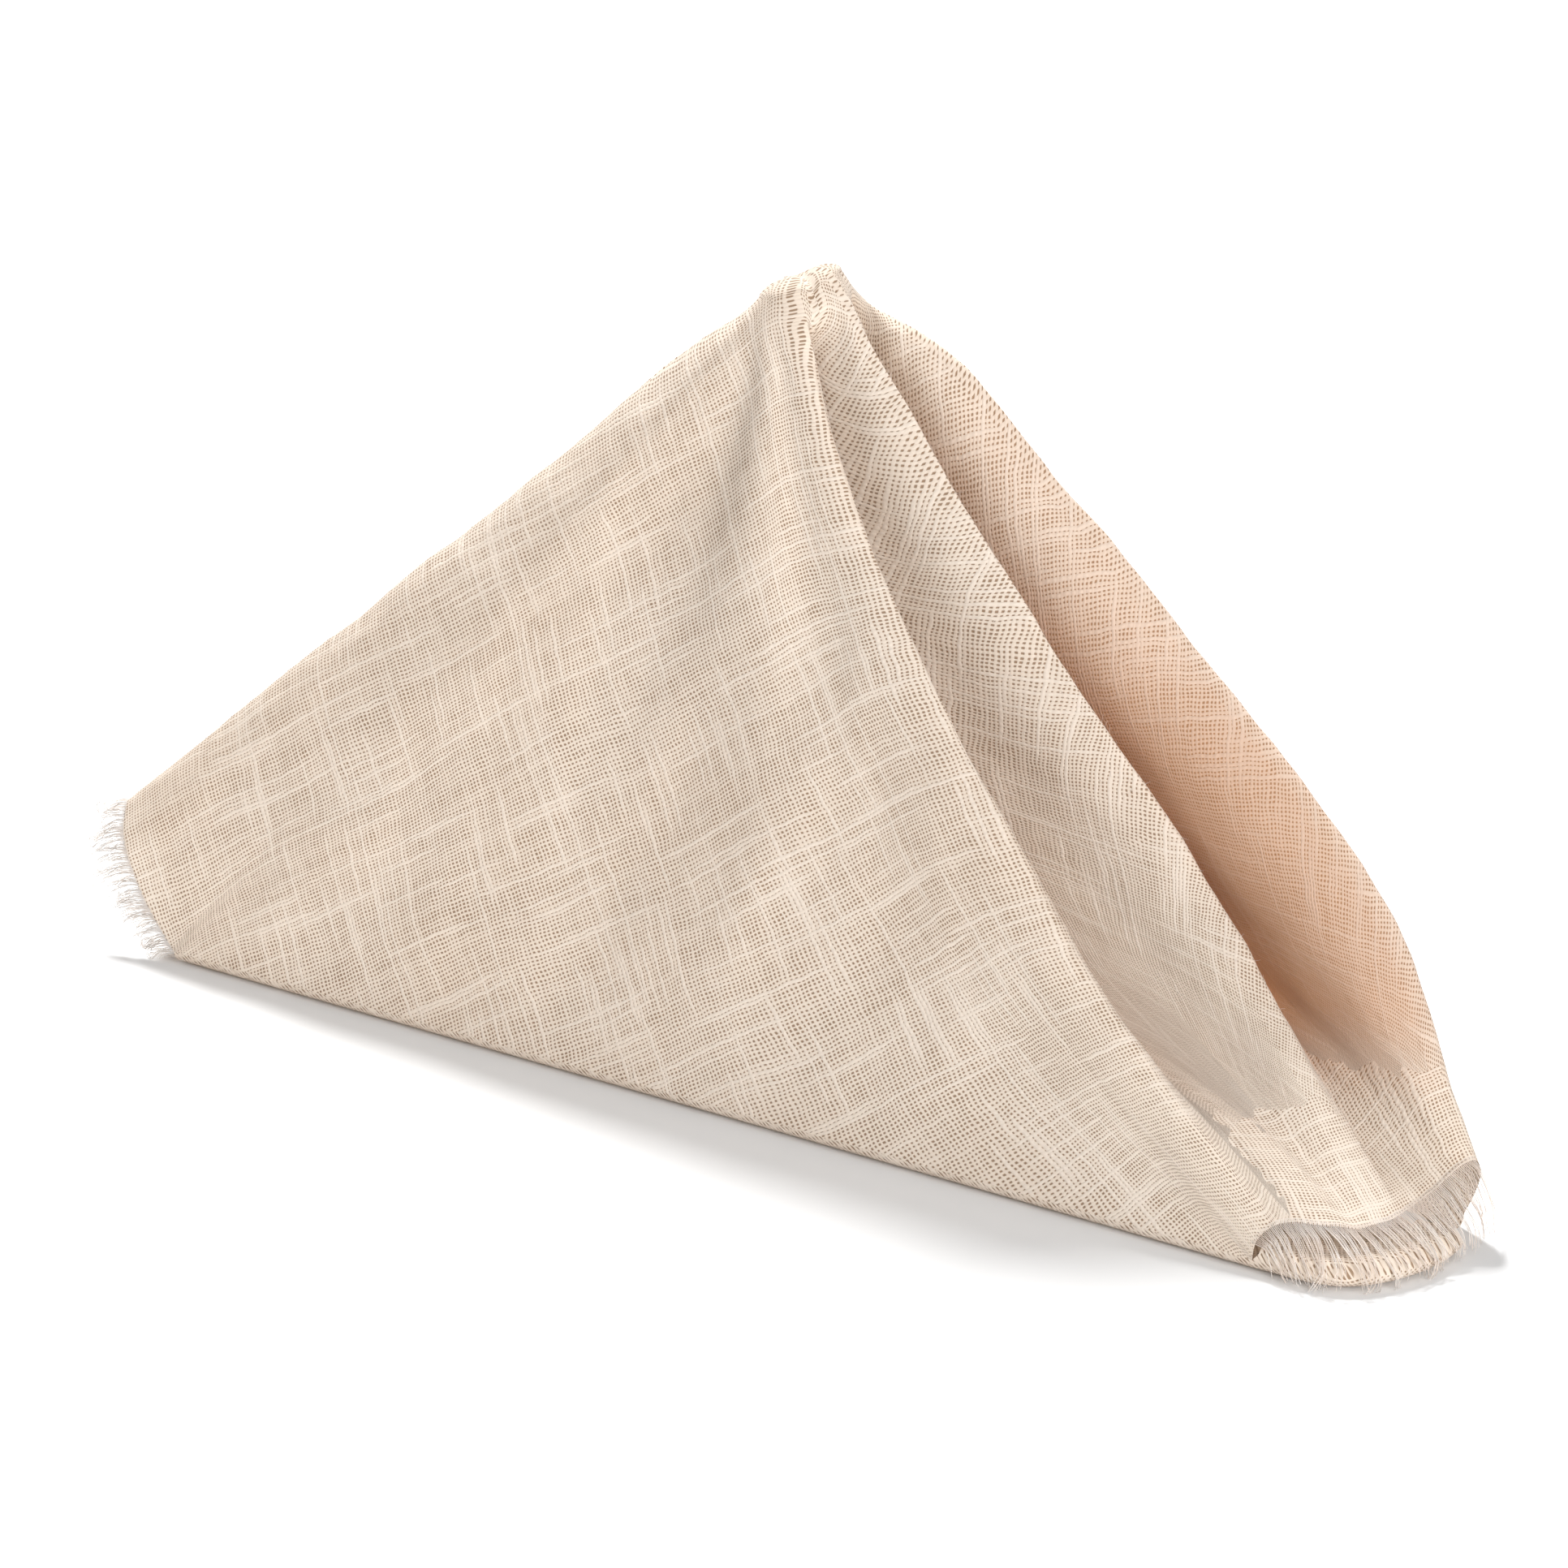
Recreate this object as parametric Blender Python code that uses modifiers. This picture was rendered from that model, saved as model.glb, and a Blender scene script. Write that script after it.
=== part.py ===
"""Folded cloth napkin standing as a soft tent, with frayed raw edges at both ends.

Metres, +Z up. X runs along the base from the left raw edge to the right one, -Y is the front.
The cloth is one sheet. It radiates from the top point: front wing, front roll, inner pleat,
middle ridge, deep hollow, back roll and back wing, and it turns under along the base.
"""

import math

import bmesh
import bpy
from mathutils import Vector

MM = 0.001

CLOTH_THICKNESS = 1.2
LEVELS = 20
CROWN_RINGS = 3
CROWN_RISE = 4.2
CROWN_CENTRE = (141.0, 57.5, 170.6)
CROWN_RADII = (9.5, 8.0)
CROWN_TILT = (2.6, 1.2)
# Below the crown the cloth first widens as a plain cone, by this much along X and Y and down
# for the whole length of a fold line, and the folds begin over this share of their length.
CROWN_SPREAD = (70.0, 25.0, 170.0)
CROWN_SHARE = 0.12
# The inner pleat opens out between these shares of its length, along this direction.
PLEAT_OPENS = (0.78, 0.97)
PLEAT_OPENING = (240.0, -70.0, -150.0)
BEND_RADIUS = 2.4
FOLD_RADIUS = 2.6
FLOOR_LEVEL = CLOTH_THICKNESS / 2
FLAP_ROWS = 5
BACK_FLAP_ROWS = 2
LIP_WIDTH = 7.0

FRINGE_GAP = 0.8
FRINGE_STRIP_WIDTH = 1.5
FRINGE_THICKNESS = 0.8
LEFT_STRANDS = 32
RIGHT_STRANDS = 46
STRAND_TIP = 0.42

# Fold lines of the tent in order round it, seen from above and starting at the left ridge.
# Columns: name, columns of faces to the next line, corner at the foot, direction in degrees in
# which the line leaves the crown, then its points in mm at one quarter, half, three quarters
# and the foot. A straight line gives its foot and a bulge in Y at half height.
FOLD_LINES = (
    ("ridge", 2, False, 180, (-24, 12, 33), 0.0),
    ("ridge_front", 2, False, 200, (-22, 7.6, 27), -0.5),
    ("left_edge_front", 2, False, 215, (-14, 4, 15), -1.5),
    ("left_foot_front", 4, True, 228, (0, 0.6, 3), -2.5),
    ("front_a", 5, False, 240, (50, 0.6, 3), -1.0),
    ("front_b", 5, False, 250, (110, 0.6, 3), 1.5),
    ("front_c", 5, False, 260, (172, 0.6, 3), -1.5),
    ("front_d", 4, False, 270, (154, 39.6, 127), (176, 26.4, 86), (204, 13, 44.5), (235, 0.6, 3)),
    ("right_foot_front", 1, True, 278, (161.5, 39.9, 127), (193, 26, 86.5), (237, 12.2, 41), (297, 0.6, 3)),
    ("right_edge_low", 2, False, 283, (164.6, 40.4, 127.6), (198.5, 26.7, 88), (243.3, 13.1, 43), (296.8, 1.8, 6)),
    ("front_roll", 2, False, 290, (167, 42, 128), (203, 29, 89), (248.5, 16, 45), (299, 4.6, 9.4)),
    ("front_roll_inner", 3, False, 303, (163.5, 46.8, 127), (198.5, 34.8, 87), (243.5, 22, 43.5), (303.2, 6.4, 10.8)),
    ("pleat_front", 1, False, 312, (134, 48, 125), (146, 37.5, 84), (206, 28.6, 42.5), (306.8, 7.6, 10.8)),
    ("pleat", 1, False, 321, (130, 50, 125), (141, 40.6, 84), (201, 32.2, 43.5), (309.2, 8.9, 10.7)),
    ("pleat_back", 3, False, 330, (134, 52, 126), (146, 43.8, 85), (206, 36, 45.5), (311.4, 10.6, 10.5)),
    ("middle_face", 3, False, 338, (158, 52.8, 130), (184, 47.4, 90), (233, 41.2, 50), (313.6, 12.5, 9.9)),
    ("middle_front", 2, False, 345, (181, 51.3, 132.5), (216, 48.8, 94.5), (255, 46, 54), (315.6, 16.5, 10.1)),
    ("middle_ridge", 2, False, 352, (184.5, 53.2, 134), (219.5, 51, 96), (259, 48.6, 54.5), (317, 20, 10.2)),
    ("middle_back", 3, False, 359, (181.5, 55.6, 133), (216.5, 53.8, 94.5), (256, 51.6, 54), (317.5, 23, 10.5)),
    ("hollow_front", 3, False, 367, (151, 57.6, 129), (172, 56, 88), (217, 55, 49), (317.8, 26, 10.9)),
    ("hollow_deep_front", 1, False, 374, (121, 58, 127), (126, 57, 86), (176, 57, 47), (318.3, 29.5, 11.5)),
    ("hollow", 1, False, 379, (117, 59.8, 127), (121, 59.4, 86), (171, 59.2, 47.5), (318.8, 32, 12.2)),
    ("hollow_deep_back", 3, False, 384, (121, 61.6, 128), (126, 61.6, 87), (176, 61.4, 48.5), (319.5, 34.5, 13.2)),
    ("back_panel", 3, False, 393, (162, 63.4, 132), (187, 63.8, 91), (234, 61.6, 54), (320.5, 37, 14.8)),
    ("back_roll_front", 2, False, 404, (197, 62.3, 138.5), (244, 62.3, 98), (289, 54.6, 59.5), (322, 39.6, 16.8)),
    ("back_roll", 2, False, 414, (200, 65.2, 138.5), (247, 65.2, 98), (292, 57.8, 60), (323.5, 42, 17.5)),
    ("back_roll_rear", 2, False, 424, (196.5, 68.2, 136.5), (243, 68.4, 95.5), (289, 61.4, 56), (323.5, 44.8, 14.5)),
    ("right_foot_back", 3, True, 434, (189, 69.6, 132), (234, 71, 89), (280, 66, 47), (319, 47, 3)),
    ("back_a", 4, False, 444, (179, 71, 129), (214, 74.5, 88), (250, 72.5, 45), (285, 62, 3)),
    ("back_b", 4, False, 454, (240, 71, 3), 7.0),
    ("back_c", 4, False, 463, (185, 75, 3), 4.0),
    ("back_d", 4, False, 472, (130, 73, 3), 2.0),
    ("back_e", 4, False, 481, (75, 60, 3), 2.5),
    ("back_f", 3, False, 490, (30, 40, 3), 2.5),
    ("left_foot_back", 2, True, 500, (-1, 23, 3), 1.5),
    ("left_edge_back", 2, False, 512, (-14, 16.5, 15), 1.0),
    ("ridge_back", 2, False, 526, (-22.5, 15, 27), 0.5),
)

# Outline on the floor of the turned-under end that shows at the right, past the raw edge.
# Columns: X, Y in mm.
UNDER_END = ((301, 0.6), (306, 0.6), (311, 1.2), (315.5, 2.9), (319.4, 6), (322.4, 10.5),
             (324.8, 16), (326.2, 22), (326.8, 28), (326.2, 34))

# The same outline carried on behind the last strands of the right fringe.
UNDER_END_REAR = ((325.4, 38.5), (325, 42.5), (325.4, 46))
# Fold lines whose feet are the back wing's line on the floor.
BACK_FEET = ("right_foot_back", "back_a", "back_b", "back_c", "back_d", "back_e", "back_f",
             "left_foot_back")


def mix(a, b, t):
    return a + (b - a) * t


def smooth(a, b, t):
    t = min(1.0, max(0.0, (t - a) / (b - a)))
    return t * t * (3 - 2 * t)


def noise(seed):
    """An even number from 0 to 1 that depends only on the seed."""
    return math.sin(seed * 12.9898 + 4.1414) * 43758.5453 % 1.0


def hermite(p, q, mp, mq, t):
    t2 = t * t
    t3 = t2 * t
    return p * (2 * t3 - 3 * t2 + 1) + mp * (t3 - 2 * t2 + t) + q * (3 * t2 - 2 * t3) + mq * (t3 - t2)


def along(points, t):
    """The point at t from 0 to 1 on a smooth line through evenly spaced points."""
    n = len(points) - 1
    i = min(int(t * n), n - 1)
    before = points[i - 1] if i else points[0] * 2 - points[1]
    after = points[i + 2] if i + 2 <= n else points[n] * 2 - points[n - 1]
    return hermite(points[i], points[i + 1], (points[i + 1] - before) / 2,
                   (after - points[i]) / 2, t * n - i)


def crown(angle):
    """The point of the small tilted oval at the top where a fold line starts."""
    u, v = math.cos(math.radians(angle)), math.sin(math.radians(angle))
    return Vector(CROWN_CENTRE) + Vector((CROWN_RADII[0] * u, CROWN_RADII[1] * v,
                                          CROWN_TILT[0] * u + CROWN_TILT[1] * v))


def on_line(row, t):
    """The point of a fold line at t, from its top at 0 to its foot at 1."""
    top = crown(row[3])
    if len(row) == 6:
        foot, bulge = Vector(row[4]), row[5]
        point = top.lerp(foot, t)
        point.y += bulge * 4 * t * (1 - t)
    else:
        point = along([top] + [Vector(p) for p in row[4:]], t)
    angle = math.radians(row[3])
    plain = top + Vector((CROWN_SPREAD[0] * math.cos(angle), CROWN_SPREAD[1] * math.sin(angle),
                          -CROWN_SPREAD[2])) * t
    point = plain.lerp(point, smooth(0.0, CROWN_SHARE, t))
    if row[0] in ("pleat_front", "pleat", "pleat_back"):
        opened = Vector(row[-1]) - Vector(PLEAT_OPENING) * (1 - t)
        point = point.lerp(opened, smooth(*PLEAT_OPENS, t))
    return point


def section(t):
    """One closed section of the tent, as points round it, with a smooth turn at each line."""
    rows = FOLD_LINES
    points = [on_line(row, t) for row in rows]
    n = len(points)
    slopes = []
    for i, p in enumerate(points):
        q, r = points[i - 1], points[(i + 1) % n]
        d, e = max((p - q).length, 1e-6), max((r - p).length, 1e-6)
        slope = ((p - q) / d * e + (r - p) / e * d) / (d + e)
        if rows[i][2]:
            slope *= 1 - smooth(0.7, 1.0, t)
        slopes.append(slope)
    out = []
    for i, row in enumerate(rows):
        p, q = points[i], points[(i + 1) % n]
        length = (q - p).length
        for k in range(row[1]):
            out.append(hermite(p, q, slopes[i] * length, slopes[(i + 1) % n] * length, k / row[1]))
    return out


def column_of(name):
    """The number of the section point that lies on a named fold line."""
    count = 0
    for row in FOLD_LINES:
        if row[0] == name:
            return count
        count += row[1]
    raise KeyError(name)


def back_flap(x, y):
    """How far the back wing turns under at a point of its foot."""
    return min(22.0, 0.32 * y) * (1 - 0.8 * smooth(280, 312, x))


def far_edge(x):
    """Where the floor layer ends, in front of the back wing's turned-under edge."""
    feet = [on_line(row, 1.0) for row in FOLD_LINES if row[0] in BACK_FEET]
    feet.sort(key=lambda p: p.x)
    for a, b in zip(feet, feet[1:]):
        if x <= b.x:
            y = mix(a.y, b.y, max(0.0, (x - a.x) / (b.x - a.x)))
            return y - BEND_RADIUS - back_flap(x, y) - 3.0
    return feet[-1].y - 8.0


def new_object(name, mesh, material):
    obj = bpy.data.objects.new(name, mesh)
    obj.data.materials.append(material)
    COLLECTION.objects.link(obj)
    return obj


def cloth_surface():
    """The open middle surface of the whole cloth."""
    bm = bmesh.new()
    rings = []
    ring = section(0.0)
    centre = Vector(CROWN_CENTRE)
    rise = Vector((0, 0, CROWN_RISE))
    for k in range(1, CROWN_RINGS + 1):
        angle = math.pi / 2 * k / (CROWN_RINGS + 1)
        rings.append([bm.verts.new(centre.lerp(p, math.sin(angle)) + rise * math.cos(angle))
                      for p in ring])
    for i in range(LEVELS + 1):
        rings.append([bm.verts.new(p) for p in section(i / LEVELS)])
    n = len(ring)
    top = bm.verts.new(centre + rise)
    for j in range(n):
        bm.faces.new((top, rings[0][j], rings[0][(j + 1) % n]))
    for a, b in zip(rings, rings[1:]):
        for j in range(n):
            bm.faces.new((a[j], b[j], b[(j + 1) % n], a[(j + 1) % n]))

    base = rings[-1]
    start, end = column_of("left_foot_front"), column_of("right_foot_front")
    count = end - start + 1
    total = count + len(UNDER_END)
    # Columns of the floor layer: the foot points, then the outline of the under end.
    bend = []
    for k in range(count):
        x, y = base[start + k].co.x, base[start + k].co.y
        low = bm.verts.new((x, y + BEND_RADIUS * 0.293, FLOOR_LEVEL + BEND_RADIUS * 0.293))
        flat = bm.verts.new((x, y + BEND_RADIUS, FLOOR_LEVEL))
        bend.append((base[start + k], low, flat))
    outline = [Vector((x, y)) for x, y in UNDER_END]
    lips = []
    r = FOLD_RADIUS
    for k, p in enumerate(outline):
        q = outline[k - 1] if k else Vector((297, 0.6))
        s = outline[min(k + 1, len(outline) - 1)]
        d = (s - q).normalized()
        inward = Vector((-d.y, d.x))
        at = [p + inward * w for w in (0, 0.293 * r, r)]
        bend.append((bm.verts.new((*at[0], FLOOR_LEVEL + r)),
                     bm.verts.new((*at[1], FLOOR_LEVEL + 0.293 * r)),
                     bm.verts.new((*at[2], FLOOR_LEVEL))))
        upper = [(p + inward * 0.293 * r, FLOOR_LEVEL + 1.707 * r),
                 (p + inward * r, FLOOR_LEVEL + 2 * r),
                 (p + inward * (r + LIP_WIDTH / 2), FLOOR_LEVEL + 2 * r),
                 (p + inward * (r + LIP_WIDTH), FLOOR_LEVEL + 2 * r)]
        if k == 0:
            upper = [(a + Vector((-0.6, 0)), z) for a, z in upper]
        lips.append([bend[-1][0]] + [bm.verts.new((*a, z)) for a, z in upper])
    for a, b in zip(bend, bend[1:]):
        bm.faces.new((b[0], a[0], a[1], b[1]))
        bm.faces.new((b[1], a[1], a[2], b[2]))
    corner = base[end]
    bm.faces.new((corner, lips[0][0], lips[0][1]))
    for a, b in zip(lips, lips[1:]):
        for k in range(4):
            bm.faces.new((a[k], b[k], b[k + 1], a[k + 1]))
    # The floor layer runs from the bend to its far edge.
    last_straight = column_of("front_d") - start
    x_last = base[start + last_straight].co.x
    previous = None
    for k in range(total):
        flat = bend[k][2]
        x = flat.co.x if k <= last_straight else mix(
            x_last, 307.0, (k - last_straight) / (total - 1 - last_straight))
        far = Vector((max(x, 3.0 + flat.co.x * 0.9), max(far_edge(x), flat.co.y + 5), FLOOR_LEVEL))
        if k > last_straight:
            far.x = x
        line = [flat] + [bm.verts.new(flat.co.lerp(far, i / FLAP_ROWS))
                         for i in range(1, FLAP_ROWS + 1)]
        if previous:
            for i in range(FLAP_ROWS):
                bm.faces.new((line[i], previous[i], previous[i + 1], line[i + 1]))
        previous = line

    # The back wing turns under by a narrower flap.
    start, end = column_of("right_foot_back"), column_of("left_foot_back")
    previous = None
    for k in range(start, end + 1):
        p = base[k].co
        width = back_flap(p.x, p.y)
        line = [base[k],
                bm.verts.new((p.x, p.y - BEND_RADIUS * 0.293, FLOOR_LEVEL + BEND_RADIUS * 0.293)),
                bm.verts.new((p.x, p.y - BEND_RADIUS, FLOOR_LEVEL))]
        for i in range(1, BACK_FLAP_ROWS + 1):
            line.append(bm.verts.new((p.x, p.y - BEND_RADIUS - width * i / BACK_FLAP_ROWS,
                                      FLOOR_LEVEL)))
        if previous:
            for i in range(len(line) - 1):
                bm.faces.new((line[i], previous[i], previous[i + 1], line[i + 1]))
        previous = line
    bmesh.ops.recalc_face_normals(bm, faces=bm.faces[:])
    return bm


def mesh_of(bm, name, shift):
    for v in bm.verts:
        v.co = (v.co + shift) * MM
    mesh = bpy.data.meshes.new(name)
    bm.to_mesh(mesh)
    bm.free()
    for face in mesh.polygons:
        face.use_smooth = True
    return mesh


def raw_edge(first, last, count):
    """Points spread evenly along the raw edge at the foot, with the way out of the cloth."""
    a, b = column_of(first), column_of(last)
    foot, above = section(1.0), section(1.0 - 1.0 / LEVELS)
    n = len(foot)
    run = [k % n for k in range(a, b + 1 if b >= a else b + n + 1)]
    line = [(foot[k], (foot[k] - above[k]).normalized()) for k in run]
    lengths = [0.0]
    for p, q in zip(line, line[1:]):
        lengths.append(lengths[-1] + (q[0] - p[0]).length)
    spread = []
    k = 0
    for i in range(count):
        s = lengths[-1] * i / (count - 1)
        while k < len(line) - 2 and lengths[k + 1] < s:
            k += 1
        f = (s - lengths[k]) / (lengths[k + 1] - lengths[k])
        spread.append((line[k][0].lerp(line[k + 1][0], f), line[k][1].lerp(line[k + 1][1], f)))
    out = []
    for i, (p, away) in enumerate(spread):
        tangent = (spread[min(i + 2, count - 1)][0] - spread[max(i - 2, 0)][0]).normalized()
        out.append((p, (away - tangent * away.dot(tangent)).normalized()))
    return out


def fringe(stations, path_of):
    """A thin strip with a four-sided strand out of every second face of its outer side.

    stations holds a point and the way out for both sides of each strand's root. path_of gives
    a strand's points past the strip, as pairs of centre and half size.
    """
    bm = bmesh.new()
    rings = []
    n = len(stations)
    for i, (p, out) in enumerate(stations):
        q, r = stations[max(i - 1, 0)][0], stations[min(i + 1, n - 1)][0]
        side = (r - q).normalized()
        up = side.cross(out).normalized() * (FRINGE_THICKNESS / 2)
        inner, outer = p + out * FRINGE_GAP, p + out * (FRINGE_GAP + FRINGE_STRIP_WIDTH)
        rings.append([bm.verts.new(v) for v in (inner + up, outer + up, outer - up, inner - up)])
    for i, (a, b) in enumerate(zip(rings, rings[1:])):
        bm.faces.new((a[0], a[1], b[1], b[0]))
        bm.faces.new((a[2], a[3], b[3], b[2]))
        bm.faces.new((a[3], a[0], b[0], b[3]))
        if i % 2:
            bm.faces.new((a[1], a[2], b[2], b[1]))
            continue
        ring = [a[1], b[1], b[2], a[2]]
        side = (b[1].co - a[1].co).normalized()
        root = sum((v.co for v in ring), Vector()) / 4
        out = stations[i][1]
        before = root
        points = path_of(i // 2, root, out, side)
        for k, (centre, half) in enumerate(points):
            ahead = (points[k + 1][0] if k + 1 < len(points) else centre * 2 - before) - before
            up = side.cross(ahead).normalized()
            across = ahead.cross(up).normalized()
            new = [bm.verts.new(centre + across * u * half + up * v * half)
                   for u, v in ((-1, 1), (1, 1), (1, -1), (-1, -1))]
            for j in range(4):
                bm.faces.new((ring[j], new[j], new[(j + 1) % 4], ring[(j + 1) % 4]))
            ring = new
            before = centre
        bm.faces.new(ring)
    bm.faces.new(rings[0])
    bm.faces.new(rings[-1][::-1])
    bmesh.ops.recalc_face_normals(bm, faces=bm.faces[:])
    return bm


def left_path(i, root, out, side):
    """Strands of the left end stand out level in locks, and the lowest droop to the floor."""
    lock = math.sin(i * 0.62) + 0.5 * math.sin(i * 1.4 + 1)
    length = 8.2 + 0.9 * lock + 1.4 * (noise(i) - 0.5)
    height = root.z
    drop = 1.7 + 2.6 * smooth(2.0, 14.0, height)
    points = []
    for k, half in ((1, 0.36), (2, 0.3), (3, STRAND_TIP / 2)):
        f = k / 3
        at = root + Vector((-0.98, -0.14, 0)) * length * f - Vector((0, 0, drop * f * (2 - f)))
        points.append((at + side * 0.18 * lock * f, half))
    return points


def right_path(i, root, out, side):
    """Strands of the right end lie out over the turned-under end and hang down its round side."""
    r = FOLD_RADIUS + CLOTH_THICKNESS / 2 + 1.1
    outline = [Vector(p) for p in UNDER_END + UNDER_END_REAR]
    lengths = [0.0]
    for a, b in zip(outline, outline[1:]):
        lengths.append(lengths[-1] + (b - a).length)
    s = lengths[-1] * (i + 0.5) / RIGHT_STRANDS
    k = max(j for j in range(len(outline) - 1) if lengths[j] <= s)
    near = outline[k].lerp(outline[k + 1], (s - lengths[k]) / (lengths[k + 1] - lengths[k]))
    d = (outline[min(k + 2, len(outline) - 1)] - outline[max(k - 1, 0)]).normalized()
    outward = Vector((d.y, -d.x))
    sway = 0.3 * math.sin(i * 0.7) + 0.15 * math.sin(i * 1.9)
    middle = near - outward * FOLD_RADIUS
    level = FLOOR_LEVEL + FOLD_RADIUS
    lift = max(0.0, root.z - 9.0)
    stop = math.radians(-33 - 8 * math.sin(i * 0.8) - 9 * noise(i + 50))
    points = []
    for k, (angle, half, share) in enumerate(((math.radians(70), 0.36, 0.7),
                                              (math.radians(35), 0.32, 0.45),
                                              (0.0, 0.28, 0.2), (stop, STRAND_TIP / 2, 0.0))):
        at = middle + outward * r * math.cos(angle) + d * sway * (k + 1) / 4
        height = level + r * math.sin(angle) + lift * share
        points.append((Vector((*at, max(height, half + 0.15))), half))
    return points


def cotton(name, colour, roughness):
    material = bpy.data.materials.new(name)
    material.use_nodes = True
    shader = material.node_tree.nodes["Principled BSDF"]
    shader.inputs["Base Color"].default_value = (*colour, 1.0)
    shader.inputs["Roughness"].default_value = roughness
    material.diffuse_color = (*colour, 1.0)
    return material


for obj in list(bpy.data.objects):
    bpy.data.objects.remove(obj, do_unlink=True)
COLLECTION = bpy.data.collections.new("folded_cloth_napkin")
bpy.context.scene.collection.children.link(COLLECTION)

surface = cloth_surface()
left = fringe(raw_edge("ridge", "left_foot_front", 2 * LEFT_STRANDS)[:-2], left_path)
right = fringe(raw_edge("front_roll", "back_roll", 2 * RIGHT_STRANDS), right_path)
everything = [v.co for bm in (surface, left, right) for v in bm.verts]
half = CLOTH_THICKNESS / 2
low = [min(p[k] for p in everything) for k in range(3)]
high = [max(p[k] for p in everything) for k in range(3)]
shift = Vector((-(low[0] + high[0]) / 2, -(low[1] + high[1] + half) / 2, 0))

cloth = new_object("cloth", mesh_of(surface, "cloth", shift),
                   cotton("cotton_gauze", (0.72, 0.58, 0.47), 0.95))
shell = cloth.modifiers.new("shell", "SOLIDIFY")
shell.thickness = CLOTH_THICKNESS * MM
shell.offset = 0.0
shell.use_even_offset = False
new_object("fringe_left", mesh_of(left, "fringe_left", shift),
           cotton("frayed_cotton_left", (0.78, 0.68, 0.6), 0.95))
new_object("fringe_right", mesh_of(right, "fringe_right", shift),
           cotton("frayed_cotton_right", (0.8, 0.69, 0.62), 0.95))
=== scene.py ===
"""Folded cloth napkin: the fine cloth, its ravelled edges, the materials, camera and light."""

import math
from collections import namedtuple

import bpy
import numpy as np
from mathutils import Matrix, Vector


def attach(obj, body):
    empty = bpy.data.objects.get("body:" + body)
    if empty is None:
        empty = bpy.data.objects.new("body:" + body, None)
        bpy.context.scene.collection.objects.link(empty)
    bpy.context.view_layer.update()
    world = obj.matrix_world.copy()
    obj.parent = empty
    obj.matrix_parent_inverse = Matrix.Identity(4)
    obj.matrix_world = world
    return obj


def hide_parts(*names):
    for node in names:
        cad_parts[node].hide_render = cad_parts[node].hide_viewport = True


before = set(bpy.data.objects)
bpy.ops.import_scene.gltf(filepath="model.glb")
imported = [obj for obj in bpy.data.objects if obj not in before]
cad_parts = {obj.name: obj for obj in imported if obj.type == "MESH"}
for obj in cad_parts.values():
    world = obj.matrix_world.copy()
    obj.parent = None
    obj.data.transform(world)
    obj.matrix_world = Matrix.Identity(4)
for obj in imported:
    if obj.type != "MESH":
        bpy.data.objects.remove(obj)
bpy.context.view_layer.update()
MM = 0.001

# Lengths are in mm. X runs along the base, -Y is the front, and SHIFT centres the whole.
SHIFT = np.array((-146.766, -37.426, 0.0))

# Fineness: levels down the cloth, columns to each of a fold line's, rings over the point.
LEVELS = 150
COLUMN_SCALE = 3
CROWN_RINGS = 9

# The point: a small tilted oval, how far it domes, and the plain cone that every fold line
# follows for the first share of its way down.
CROWN_CENTRE = (141.0, 57.5, 170.6)
CROWN_RADII = (9.5, 8.0)
CROWN_TILT = (2.6, 1.2)
CROWN_RISE = 2.8
CROWN_SPREAD = (150.0, 50.0, 145.0)
CROWN_SHARE = 0.1

# The pleat opens out near its foot: over which share of the height, and which way.
PLEAT_OPENS = (0.78, 0.97)
PLEAT_OPENING = (240.0, -70.0, -150.0)

# Bends at the base, the layers on the floor and the turned-under end at the right.
BEND_RADIUS = 2.4
BEND_ANGLES = tuple(math.radians(a) for a in (30, 60, 90))
FOLD_RADIUS = 2.6
FLOOR_LEVEL = 0.5
FLAP_ROWS = 8
LIP_WIDTH = 7.0
UNDER_END_STEPS = 40
RIGHT_CORNER = (297.0, 0.6)
FLOOR_LAYER_END = 307.0
BACK_FLAP = 22.0
BACK_FLAP_ROWS = 4

# The weave: thread pitch each way, the flat cloth that the point takes up, and the turn of
# the grain on the floor, in radians.
THREAD_PITCH = (0.97, 0.89)
FLAT_START = 9.0
FLOOR_GRAIN = 0.6

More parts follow.
